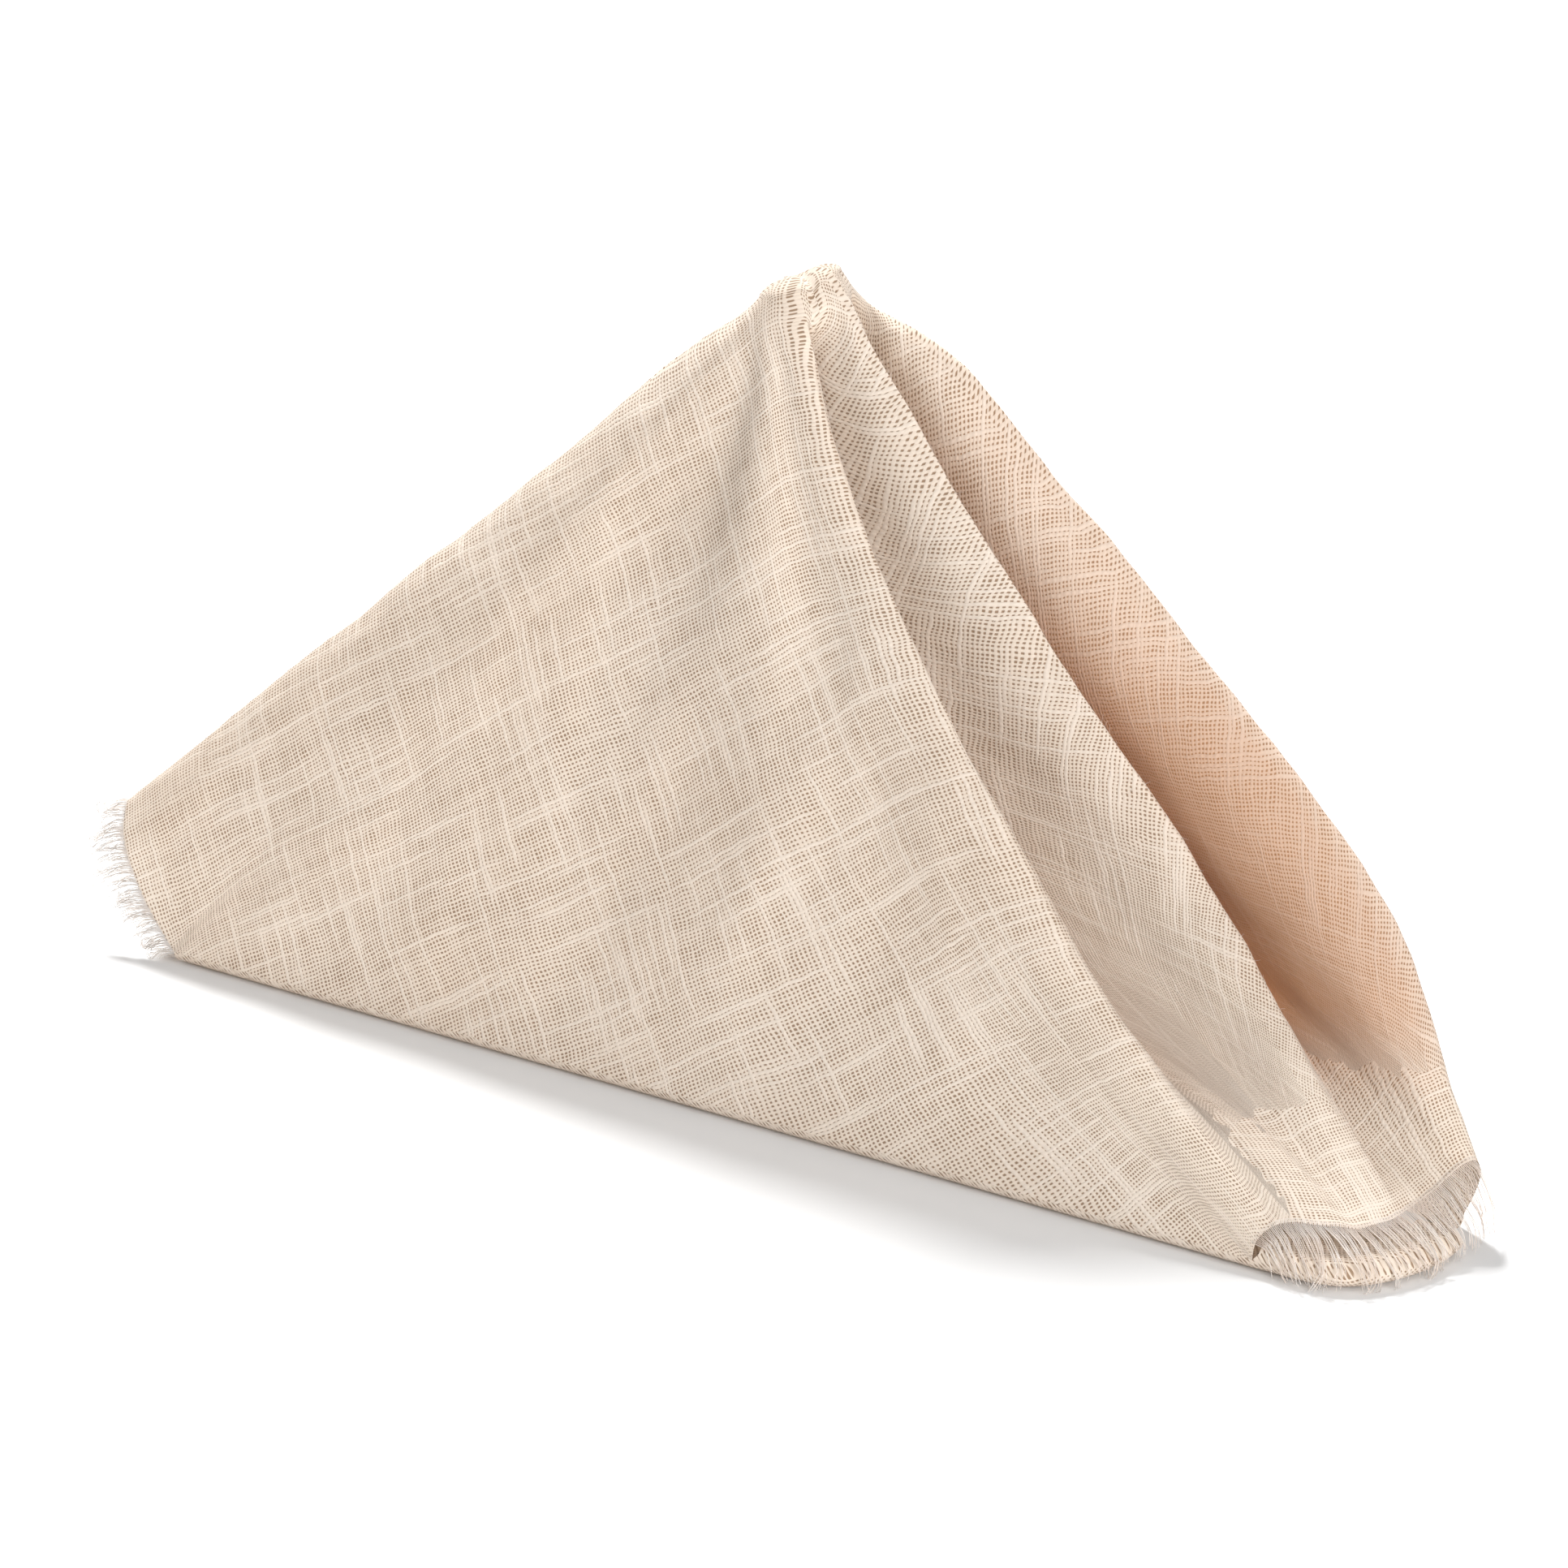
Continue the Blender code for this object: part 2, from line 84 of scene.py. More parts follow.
# Fold lines of the tent in order round it, seen from above and starting at the left ridge.
# Columns: name, columns of faces to the next line, corner at the foot, direction in degrees in
# which the line leaves the crown, then its points in mm at one quarter, half, three quarters
# and the foot. A straight line gives its foot and a bulge in Y at half height.
FOLD_LINES = (
    ("ridge", 2, False, 180, (-24, 12, 33), 0.0),
    ("ridge_front", 2, False, 200, (-22, 7.6, 27), -0.5),
    ("left_edge_front", 2, False, 215, (-14, 4, 15), -1.5),
    ("left_foot_front", 4, True, 228, (0, 0.6, 3), -2.5),
    ("front_a", 5, False, 240, (50, 0.6, 3), -1.0),
    ("front_b", 5, False, 250, (110, 0.6, 3), 1.5),
    ("front_c", 5, False, 260, (172, 0.6, 3), -1.5),
    ("front_d", 4, False, 270, (154, 39.6, 127), (176, 26.4, 86), (204, 13, 44.5), (235, 0.6, 3)),
    ("right_foot_front", 1, True, 278, (161.5, 39.9, 127), (193, 26, 86.5),
     (237, 12.2, 41), (297, 0.6, 3)),
    ("right_edge_low", 2, False, 283, (164.6, 40.4, 127.6), (198.5, 26.7, 88),
     (243.3, 13.1, 43), (296.8, 1.8, 6)),
    ("front_roll", 2, False, 290, (167, 42, 128), (203, 29, 89), (248.5, 16, 45), (299, 4.6, 9.4)),
    ("front_roll_inner", 3, False, 303, (163.5, 46.8, 127), (198.5, 34.8, 87),
     (243.5, 22, 43.5), (303.2, 6.4, 10.8)),
    ("pleat_front", 1, False, 312, (134, 48, 125), (146, 37.5, 84),
     (206, 28.6, 42.5), (306.8, 7.6, 10.8)),
    ("pleat", 1, False, 321, (130, 50, 125), (141, 40.6, 84),
     (201, 32.2, 43.5), (309.2, 8.9, 10.7)),
    ("pleat_back", 3, False, 330, (134, 52, 126), (146, 43.8, 85),
     (206, 36, 45.5), (311.4, 10.6, 10.5)),
    ("middle_face", 3, False, 338, (158, 52.8, 130), (184, 47.4, 90),
     (233, 41.2, 50), (313.6, 12.5, 9.9)),
    ("middle_front", 2, False, 345, (181, 51.3, 132.5), (216, 48.8, 94.5),
     (255, 46, 54), (315.6, 16.5, 10.1)),
    ("middle_ridge", 2, False, 352, (184.5, 53.2, 134), (219.5, 51, 96),
     (259, 48.6, 54.5), (317, 20, 10.2)),
    ("middle_back", 3, False, 359, (181.5, 55.6, 133), (216.5, 53.8, 94.5),
     (256, 51.6, 54), (317.5, 23, 10.5)),
    ("hollow_front", 3, False, 367, (151, 57.6, 129), (172, 56, 88),
     (217, 55, 49), (317.8, 26, 10.9)),
    ("hollow_deep_front", 1, False, 374, (121, 58, 127), (126, 57, 86),
     (176, 57, 47), (318.3, 29.5, 11.5)),
    ("hollow", 1, False, 379, (117, 59.8, 127), (121, 59.4, 86),
     (171, 59.2, 47.5), (318.8, 32, 12.2)),
    ("hollow_deep_back", 3, False, 384, (121, 61.6, 128), (126, 61.6, 87),
     (176, 61.4, 48.5), (319.5, 34.5, 13.2)),
    ("back_panel", 3, False, 393, (162, 63.4, 132), (187, 63.8, 91),
     (234, 61.6, 54), (320.5, 37, 14.8)),
    ("back_roll_front", 2, False, 404, (197, 62.3, 138.5), (244, 62.3, 98),
     (289, 54.6, 59.5), (322, 39.6, 16.8)),
    ("back_roll", 2, False, 414, (200, 65.2, 138.5), (247, 65.2, 98),
     (292, 57.8, 60), (323.5, 42, 17.5)),
    ("back_roll_rear", 2, False, 424, (196.5, 68.2, 136.5), (243, 68.4, 95.5),
     (289, 61.4, 56), (323.5, 44.8, 14.5)),
    ("right_foot_back", 3, True, 434, (189, 69.6, 132), (234, 71, 89), (280, 66, 47), (319, 47, 3)),
    ("back_a", 4, False, 444, (179, 71, 129), (214, 74.5, 88), (250, 72.5, 45), (285, 62, 3)),
    ("back_b", 4, False, 454, (240, 71, 3), 7.0),
    ("back_c", 4, False, 463, (185, 75, 3), 4.0),
    ("back_d", 4, False, 472, (130, 73, 3), 2.0),
    ("back_e", 4, False, 481, (75, 60, 3), 2.5),
    ("back_f", 3, False, 490, (30, 40, 3), 2.5),
    ("left_foot_back", 2, True, 500, (-1, 23, 3), 1.5),
    ("left_edge_back", 2, False, 512, (-14, 16.5, 15), 1.0),
    ("ridge_back", 2, False, 526, (-22.5, 15, 27), 0.5),
)

# Outline on the floor of the turned-under end at the right. Columns: X, Y in mm.
UNDER_END = ((301, 0.6), (306, 0.6), (311, 1.2), (315.5, 2.9), (319.4, 6), (322.4, 10.5),
             (324.8, 16), (326.2, 22), (326.8, 28), (326.2, 34))
UNDER_END_REAR = ((325.4, 38.5), (325, 42.5), (325.4, 46))
BACK_FEET = ("right_foot_back", "back_a", "back_b", "back_c", "back_d", "back_e", "back_f",
             "left_foot_back")
FEET = sorted((tuple(row[4] if len(row) == 6 else row[-1]) for row in FOLD_LINES
               if row[0] in BACK_FEET))

# Where the weave's direction starts anew, deep in a fold, and the line that it is set at.
# Columns: first line, line the angle belongs to, angle of its threads in degrees.
GRAIN = (("ridge", "left_foot_front", 20.0), ("pleat", "middle_ridge", 130.0),
         ("hollow", "back_roll", 222.0))
GRAIN_SHARE = 0.94

# Soft dents (minus) and swells (plus) in the wings, in mm. Columns: side, X, Z, half length,
# half width, slope of its length in degrees, height.
RELIEF = (
    ("front", 118, 118, 34, 9, 60, -1.0),
    ("front", 136, 96, 40, 9, 74, 0.7),
    ("front", 96, 84, 30, 10, 48, 0.8),
    ("front", 70, 62, 34, 9, 30, -0.9),
    ("front", 40, 40, 26, 8, 24, 0.6),
    ("front", 130, 52, 44, 9, 66, -0.8),
    ("front", 165, 60, 40, 8, 72, 0.7),
    ("front", 190, 34, 30, 9, 60, -0.9),
    ("front", 96, 26, 40, 8, 12, 0.7),
    ("front", 216, 26, 26, 7, 55, 0.6),
    ("front", 20, 22, 20, 7, 60, -0.6),
    ("back", 120, 110, 36, 10, 62, 1.0),
    ("back", 90, 70, 34, 10, 44, -1.1),
    ("back", 150, 60, 46, 11, 88, 1.0),
    ("back", 200, 60, 46, 10, 112, -1.1),
    ("back", 240, 40, 34, 9, 120, 0.9),
    ("back", 60, 34, 30, 9, 30, 0.8),
)

# Folds whose depth gets painted warm shade, for light passed from cloth to cloth. Columns: line,
# width in columns, most, share of the height at which it begins and at which it is full.
PAINTED_SHADE_FOLDS = (("hollow_deep_back", 15, 0.95, 0.3, 0.6), ("pleat", 10, 0.18, 0.3, 0.6),
              ("back_panel", 22, 0.24, 0.05, 0.3))
# The most painted warm shade that any corner gets.
MOST_PAINTED_SHADE = 0.93

# Lines whose shoulder just below the point is raised. Columns: line, width, height in mm.
SHOULDERS = (("back_roll", 12.0, 4.2), ("ridge", 10.0, 1.3), ("middle_ridge", 8.0, 1.5))

# Colours of the cotton and of the shade painted on it, as linear red, green and blue.
COLOUR_PALE = (0.86, 0.75, 0.64, 1.0)
COLOUR_DEEP = (0.82, 0.70, 0.585, 1.0)
COLOUR_CREAM = (0.90, 0.80, 0.70, 1.0)
COLOUR_SLUB = (0.95, 0.87, 0.78, 1.0)
# Painted shade where the threads lie low between their crossings.
COLOUR_PAINTED_GAP_SHADE = (0.62, 0.48, 0.36, 1.0)
# Painted shade in the weave's holes, for the shaded cloth seen through them.
COLOUR_PAINTED_HOLE_SHADE = (0.32, 0.21, 0.13, 1.0)
# Painted warm shade deep in the folds.
COLOUR_PAINTED_WARM_SHADE = (0.56, 0.235, 0.085, 1.0)
COLOUR_FUZZ = (1.0, 0.96, 0.92, 1.0)
LEFT_COLOURS = ((0.88, 0.81, 0.75, 1.0), (0.95, 0.91, 0.88, 1.0))
RIGHT_COLOURS = ((0.93, 0.84, 0.77, 1.0), (0.97, 0.92, 0.88, 1.0))
COLOUR_FLOOR = (0.78, 0.78, 0.78, 1.0)

# The ravelled threads: how many at each end, their thickness in mm and how many make a lock.
LEFT_THREADS = 300
RIGHT_THREADS = 150
THREAD_RADIUS = 0.09
LOCK = 6
LOW_LOCK_THREADS = 34
STRAY_FIBRES = 260
STRAY_RADIUS = 0.035
STRAY_LINES = ("ridge", "ridge_front", "middle_ridge", "back_roll", "front_roll", "middle_front")
# No thread goes lower than this over the floor, and the left ones stand out this way, in mm.
THREAD_FLOOR = 0.25
LEFT_WAY = (-0.97, -0.16, 0.0)

# Soft studio light. Columns: name, place in m, size in m, power in W.
WORLD_LIGHT = 0.32
LIGHTS = (
    ("behind_left", (-1.0, 0.75, 1.6), 0.4, 62.0),
    ("right_fill", (1.6, -1.0, 0.75), 0.8, 32.0),
    ("high_fill", (0.75, -0.7, 1.7), 0.5, 5.0),
)
LIGHTS_LOOK_AT = (0.02, 0.0, 0.06)

# The camera stands at the photograph's place: metres, degrees, millimetres.
CAMERA_PLACE = (0.6157, -0.8074, 0.3957)
CAMERA_AZIMUTH = 37.10
CAMERA_ELEVATION = 18.10
CAMERA_LENS = 111.8
SENSOR_WIDTH = 36.0


def smooth(a, b, t):
    """A smooth step from 0 at a to 1 at b."""
    t = np.clip((t - a) / (b - a), 0.0, 1.0)
    return t * t * (3 - 2 * t)


def noise(seed):
    """An even number from 0 to 1 that depends only on the seed."""
    return math.sin(seed * 12.9898 + 4.1414) * 43758.5453 % 1.0


def hermite(p, q, mp, mq, t):
    """The cubic from p to q that leaves with slope mp and arrives with slope mq."""
    t2 = t * t
    t3 = t2 * t
    return p * (2 * t3 - 3 * t2 + 1) + mp * (t3 - 2 * t2 + t) + q * (3 * t2 - 2 * t3) + mq * (t3 - t2)


def unit(v):
    return v / np.maximum(np.linalg.norm(v, axis=-1, keepdims=True), 1e-9)


def crown(angle):
    """A point of the small tilted oval at the top, from which every fold line starts."""
    u, v = math.cos(math.radians(angle)), math.sin(math.radians(angle))
    return np.array(CROWN_CENTRE) + np.array((CROWN_RADII[0] * u, CROWN_RADII[1] * v,
                                              CROWN_TILT[0] * u + CROWN_TILT[1] * v))


def along(points, t):
    """A smooth curve through the points, which are spaced evenly in t."""
    points = [np.array(p, float) for p in points]
    ext = np.array([points[0] * 2 - points[1]] + points + [points[-1] * 2 - points[-2]])
    n = len(points) - 1
    i = np.minimum((t * n).astype(int), n - 1)
    f = (t * n - i)[:, None]
    return hermite(ext[i + 1], ext[i + 2], (ext[i + 2] - ext[i]) / 2, (ext[i + 3] - ext[i + 1]) / 2, f)


def on_line(row, t):
    """Points of a fold line, from the crown at t = 0 to the foot at t = 1."""
    name, leaves, places = row[0], row[3], row[4:]
    top = crown(leaves)
    c = t[:, None]
    if len(places) == 2:
        foot, bulge = places
        point = top + (np.array(foot, float) - top) * c
        point[:, 1] += bulge * 4 * t * (1 - t)
    else:
        point = along([top] + list(places), t)
    angle = math.radians(leaves)
    plain = top + np.array((CROWN_SPREAD[0] * math.cos(angle), CROWN_SPREAD[1] * math.sin(angle),
                            -CROWN_SPREAD[2])) * c
    point = plain + (point - plain) * smooth(0.0, CROWN_SHARE, c)
    if name in ("pleat_front", "pleat", "pleat_back"):
        opened = np.array(places[-1], float) - np.array(PLEAT_OPENING) * (1 - c)
        point = point + (opened - point) * smooth(*PLEAT_OPENS, c)
    return point


def sections(t):
    """Closed sections of the tent, one per value of t: an array of t, columns and X, Y, Z."""
    rows = FOLD_LINES
    pts = np.array([on_line(row, t) for row in rows])
    n = len(rows)
    slopes = []
    for i in range(n):
        p, q, r = pts[i], pts[i - 1], pts[(i + 1) % n]
        d = np.maximum(np.linalg.norm(p - q, axis=1, keepdims=True), 1e-6)
        e = np.maximum(np.linalg.norm(r - p, axis=1, keepdims=True), 1e-6)
        slope = ((p - q) / d * e + (r - p) / e * d) / (d + e)
        if rows[i][2]:
            slope = slope * (1 - smooth(0.7, 1.0, t))[:, None]
        slopes.append(slope)
    out = []
    for i, row in enumerate(rows):
        p, q = pts[i], pts[(i + 1) % n]
        length = np.linalg.norm(q - p, axis=1, keepdims=True)
        for k in range(row[1] * COLUMN_SCALE):
            out.append(hermite(p, q, slopes[i] * length, slopes[(i + 1) % n] * length,
                               k / (row[1] * COLUMN_SCALE)))
    return np.array(out).transpose(1, 0, 2)


def column_of(name):
    """The first column of faces after a fold line."""
    count = 0
    for row in FOLD_LINES:
        if row[0] == name:
            return count
        count += row[1] * COLUMN_SCALE
    raise KeyError(name)


def back_flap(x, y):
    """Width in mm of the back wing's edge that turns under."""
    return min(BACK_FLAP, 0.32 * y) * (1 - 0.8 * float(smooth(280, 312, x)))


def far_edge(x):
    """Where the floor layer ends, in front of the back wing's turned-under edge."""
    for a, b in zip(FEET, FEET[1:]):
        if x <= b[0]:
            y = a[1] + (b[1] - a[1]) * max(0.0, (x - a[0]) / (b[0] - a[0]))
            return y - BEND_RADIUS - back_flap(x, y) - 3.0
    return FEET[-1][1] - 8.0


def rumple(u, v):
    """Small uneven swells of the cloth, in mm, from flat-cloth positions in mm."""
    waves = ((0.11, 0.05, 0.3, 0.22), (-0.06, 0.13, 1.7, 0.2), (0.21, -0.12, 4.1, 0.11),
             (0.17, 0.24, 2.2, 0.09), (-0.42, 0.25, 0.9, 0.05), (0.33, 0.47, 5.3, 0.045),
             (0.9, 0.2, 3.3, 0.02), (-0.3, 0.95, 1.1, 0.02))
    return sum(a * np.sin(x * u + y * v + p + 0.8 * np.sin(0.05 * v - 0.04 * u + p))
               for x, y, p, a in waves)


Tent = namedtuple("Tent", "level grid radius left turn")


def weave_angles(grid, radius):
    """The angle of the flat cloth at each column and its turn over the column, in degrees."""
    n = grid.shape[1]
    gap = np.linalg.norm(np.roll(grid, -1, axis=1) - grid, axis=2)
    middle = slice(int(LEVELS * 0.4), int(LEVELS * 0.85))
    turn = np.degrees((gap[middle] / radius[middle]).mean(axis=0)) * GRAIN_SHARE
    left = np.zeros(n)
    starts = [column_of(first) for first, _, _ in GRAIN] + [n]
    for (_, line, angle), a, b in zip(GRAIN, starts, starts[1:]):
        left[a:b] = np.concatenate([[0.0], np.cumsum(turn[a:b - 1])])
        left[a:b] += angle - left[column_of(line)]
    return left, turn


def outward(grid):
    """The tent's normals, away from its inside."""
    normal = unit(np.cross(np.gradient(grid, axis=0),
                           (np.roll(grid, -1, axis=1) - np.roll(grid, 1, axis=1))))
    return -normal if normal[LEVELS // 2, column_of("front_b"), 1] > 0 else normal


def relief(grid, normal, u, v):
    """Height of the cloth's small swells and of the wings' soft dents, in mm."""
    height = rumple(u, v)
    for side, x, z, length, width, slope, rise in RELIEF:
        c, s = math.cos(math.radians(slope)), math.sin(math.radians(slope))
        dx, dz = grid[..., 0] - x, grid[..., 2] - z
        a, b = (dx * c + dz * s) / length, (-dx * s + dz * c) / width
        facing = smooth(0.3, 0.7, -normal[..., 1] if side == "front" else normal[..., 1])
        height = height + rise * np.exp(-a * a - b * b) * facing
    return height


def tent():
    """The tent's points by level and column, and flat-cloth polar positions for its faces."""
    level = np.linspace(0.0, 1.0, LEVELS + 1)
    grid = sections(level)
    n = grid.shape[1]
    step = np.linalg.norm(np.diff(grid, axis=0), axis=2)
    radius = np.concatenate([np.zeros((1, n)), np.cumsum(step, axis=0)]) + FLAT_START
    left, turn = weave_angles(grid, radius)
    u, v = radius * np.cos(np.radians(left)), radius * np.sin(np.radians(left))
    normal = outward(grid)
    height = relief(grid, normal, u, v)
    share = smooth(0.0, 0.12, level)[:, None] * (1 - smooth(0.93, 1.0, level))[:, None]
    # The pleat and the hollow are too tight to rumple.
    tight = np.ones(n)
    for name in ("pleat", "hollow"):
        k = np.arange(n) - column_of(name)
        tight *= 1 - np.exp(-(k / 9.0) ** 2)
    # The shoulders just below the point are full and round.
    for name, width, lift in SHOULDERS:
        k = (np.arange(n) - column_of(name) + n // 2) % n - n // 2
        bulge = np.sin(math.pi * np.clip(level / 0.3, 0, 1)) ** 2
        grid[..., 2] += lift * bulge[:, None] * np.exp(-(k / width) ** 2)
    grid = grid + normal * (height * share * tight)[..., None]
    return Tent(level, grid, radius, left, turn)


def shape_crown(p):
    """Two soft tops at the point: the front fold's and, behind a small crease, a higher one."""
    x, y = p[:, 0], p[:, 1]
    near = smooth(150, 166, p[:, 2])
    rear = 1.5 * np.exp(-((x - 147.5) / 6.0) ** 2 - ((y - 60) / 6.0) ** 2)
    front = 0.6 * np.exp(-((x - 137) / 4.0) ** 2 - ((y - 54) / 5.0) ** 2)
    d = math.radians(321)
    across = -(x - 141.5) * math.sin(d) + (y - 57.5) * math.cos(d)
    ahead = (x - 141.5) * math.cos(d) + (y - 57.5) * math.sin(d)
    crease = -1.3 * np.exp(-(across / 1.4) ** 2) * smooth(-8, 0, ahead)
    out = p.copy()
    out[:, 2] += near * (rear + front + crease)
    return out


class Builder:
    """Collects points and faces with a flat-cloth position at each corner."""

    def __init__(self):
        self.points, self.faces, self.flat, self.edge, self.share = [], [], [], [], []
        self.painted_shade_values = []

    def add(self, p):
        self.points.append(np.array(p, float))
        return len(self.points) - 1

    def face(self, ids, flat, edge=None, share=None, painted_shade_values=None):
        self.faces.append(tuple(ids))
        self.flat.extend(flat)
        self.edge.extend(edge or flat)
        self.share.extend(share or [0.0] * len(ids))
        self.painted_shade_values.extend(painted_shade_values or [0.0] * len(ids))


def painted_fold_shade(levels, n):
    """Painted warm shade by level and column, for the light passed from cloth to cloth deep in a fold.
    """
    columns = np.arange(n)
    painted_shade = np.zeros((len(levels), n))
    for name, width, most, first, last in PAINTED_SHADE_FOLDS:
        across = np.exp(-((columns - column_of(name)) / width) ** 2)
        down = smooth(first, last, levels) * (1 - smooth(0.84, 0.96, levels))
        painted_shade += most * across * down[:, None]
    return np.minimum(painted_shade, MOST_PAINTED_SHADE)


def edge_share(levels, n):
    """Share of the weave that follows the raw edge at the right, by level and column."""
    start, end = column_of("front_roll"), column_of("back_roll")
    columns = np.arange(n)
    bowl = smooth(start + 2, start + 14, columns) * (1 - smooth(end - 4, end + 6, columns))
    return smooth(0.88, 0.94, levels)[:, None] * bowl


def polar(radius, angle):
    return (radius * math.cos(math.radians(angle)), radius * math.sin(math.radians(angle)))


def plan(p):
    """Flat-cloth position of a point of the layers on the floor, in mm."""
    x, y, z = p
    c, s = math.cos(FLOOR_GRAIN), math.sin(FLOOR_GRAIN)
    return (x * c + y * s + z * 0.7, y * c - x * s - z * 0.7)


def strip(b, before, after):
    """Faces between two rows of points."""
    for i in range(len(before) - 1):
        quad = (after[i], before[i], before[i + 1], after[i + 1])
        b.face(quad, [plan(b.points[v]) for v in quad])


def strips(b, rows):
    for before, after in zip(rows, rows[1:]):
        strip(b, before, after)


def bend_under(b, foot, side):
    """Points from a wing's foot round to the floor, towards +Y for side 1 and -Y for -1."""
    x, y, _ = b.points[foot]
    c = BEND_RADIUS
    return [foot] + [b.add((x, y + side * c * (1 - math.cos(a)), FLOOR_LEVEL + c * (1 - math.sin(a))))
                     for a in BEND_ANGLES]


def tent_faces(b, shell):
    """Adds the crown and the tent, and gives the points of their lowest ring."""
    n = shell.grid.shape[1]
    centre = np.array(CROWN_CENTRE)
    rings, radii = [], []
    for k in range(1, CROWN_RINGS + 1):
        angle = math.pi / 2 * k / (CROWN_RINGS + 1)
        ring = centre + (shell.grid[0] - centre) * math.sin(angle)
        ring[:, 2] += CROWN_RISE * math.cos(angle)
        rings.append([b.add(p) for p in ring])
        radii.append(np.full(n, FLAT_START * k / (CROWN_RINGS + 1)))
    for ring, radius in zip(shell.grid, shell.radius):
        rings.append([b.add(p) for p in ring])
        radii.append(radius)
    top = b.add(centre + (0, 0, CROWN_RISE))
    levels = np.array([-1.0] * CROWN_RINGS + list(shell.level))
    share, painted_shade = edge_share(levels, n), painted_fold_shade(levels, n)

    start, end = column_of("front_roll"), column_of("back_roll")
    chord = unit(shell.grid[-1, end] - shell.grid[-1, start])

    def at_edge(i, j):
        p = b.points[rings[i][j]]
        return (1.25 * float(np.dot(p - shell.grid[-1, start], chord)),
                400.0 - 1.2 * float(shell.radius[-1, j] - radii[i][j]))

    for j in range(n):
        k = (j + 1) % n
        angles = {j: shell.left[j], k: shell.left[j] + shell.turn[j]}
        b.face((top, rings[0][j], rings[0][k]),
               (polar(0, angles[j]), polar(radii[0][j], angles[j]), polar(radii[0][k], angles[k])))
        for i in range(len(rings) - 1):
            corners = ((i, j), (i + 1, j), (i + 1, k), (i, k))
            b.face([rings[x][y] for x, y in corners],
                   [polar(radii[x][y], angles[y]) for x, y in corners],
                   [at_edge(x, y) for x, y in corners],
                   [float(share[x, y]) for x, y in corners],
                   [float(painted_shade[x, y]) for x, y in corners])
    return rings[-1]


def under_end(b):
    """The turned-under end at the right: the points of its bend below and its lip above."""
    outline = along([(*p, 0) for p in UNDER_END], np.linspace(0, 1, UNDER_END_STEPS))[:, :2]
    lows, lips = [], []
    r = FOLD_RADIUS
    for k, p in enumerate(outline):
        before = outline[k - 1] if k else np.array(RIGHT_CORNER)
        after = outline[min(k + 1, len(outline) - 1)]
        d = unit(after - before)
        inward = np.array((-d[1], d[0]))
        low = [b.add((*(p + inward * r * (1 - math.cos(a))), FLOOR_LEVEL + r * (1 - math.sin(a))))
               for a in (0.0, *BEND_ANGLES)]
        lows.append(low)
        # The lip lies a little further in than the bend, most of all by the corner.
        back = -0.6 - 2.2 * max(0.0, 1 - k / 5)
        lip = [low[0]]
        for a in BEND_ANGLES:
            x, y = p + inward * r * (1 - math.cos(a))
            lip.append(b.add((x + back, y, FLOOR_LEVEL + r * (1 + math.sin(a)))))
        for share in (0.5, 1.0):
            x, y = p + inward * (r + LIP_WIDTH * share)
            lip.append(b.add((x + back, y, FLOOR_LEVEL + 2 * r)))
        lips.append(lip)
    return lows, lips


def floor_layer(b, bend, last_straight):
    """The layer on the floor, from the front bend back to the back wing's turned-under edge."""
    x_last = b.points[bend[last_straight][0]][0]
    rows = []
    for k, low in enumerate(bend):
        near = b.points[low[-1]]
        if k > last_straight:
            share = (FLOOR_LAYER_END - x_last) * (k - last_straight)
            x = x_far = x_last + share / (len(bend) - 1 - last_straight)
        else:
            x = near[0]
            x_far = max(x, 3.0 + x * 0.9)
        far = np.array((x_far, max(far_edge(x), near[1] + 5), FLOOR_LEVEL))
        rows.append([low[-1]] + [b.add(near + (far - near) * i / FLAP_ROWS)
                                 for i in range(1, FLAP_ROWS + 1)])
    strips(b, rows)


def back_edge(b, base):
    """The back wing's edge, turned under by the width of the back flap."""
    rows = []
    for k in range(column_of("right_foot_back"), column_of("left_foot_back") + 1):
        x, y, _ = b.points[base[k]]
        width = back_flap(x, y)
        rows.append(bend_under(b, base[k], -1)
                    + [b.add((x, y - BEND_RADIUS - width * i / BACK_FLAP_ROWS, FLOOR_LEVEL))
                       for i in range(1, BACK_FLAP_ROWS + 1)])
    strips(b, rows)


def cloth_mesh():
    """The whole cloth, and the tent's points by level and column."""
    shell = tent()
    b = Builder()
    base = tent_faces(b, shell)
    start, end = column_of("left_foot_front"), column_of("right_foot_front")
    bend = [bend_under(b, base[k], 1) for k in range(start, end + 1)]
    lows, lips = under_end(b)
    bend += lows
    strips(b, bend)
    corner = (base[end], lips[0][0], lips[0][1])
    b.face(corner, [plan(b.points[v]) for v in corner])
    for before, after in zip(lips, lips[1:]):
        strip(b, after, before)
    floor_layer(b, bend, column_of("front_d") - start)
    back_edge(b, base)
    return b, shell.grid


def to_object(name, points, faces, material):
    mesh = bpy.data.meshes.new(name)
    mesh.from_pydata([tuple(p) for p in (np.array(points) + SHIFT) * MM], [], faces)
    mesh.polygons.foreach_set("use_smooth", [True] * len(mesh.polygons))
    mesh.materials.append(material)
    obj = bpy.data.objects.new(name, mesh)
    bpy.context.scene.collection.objects.link(obj)
    return obj


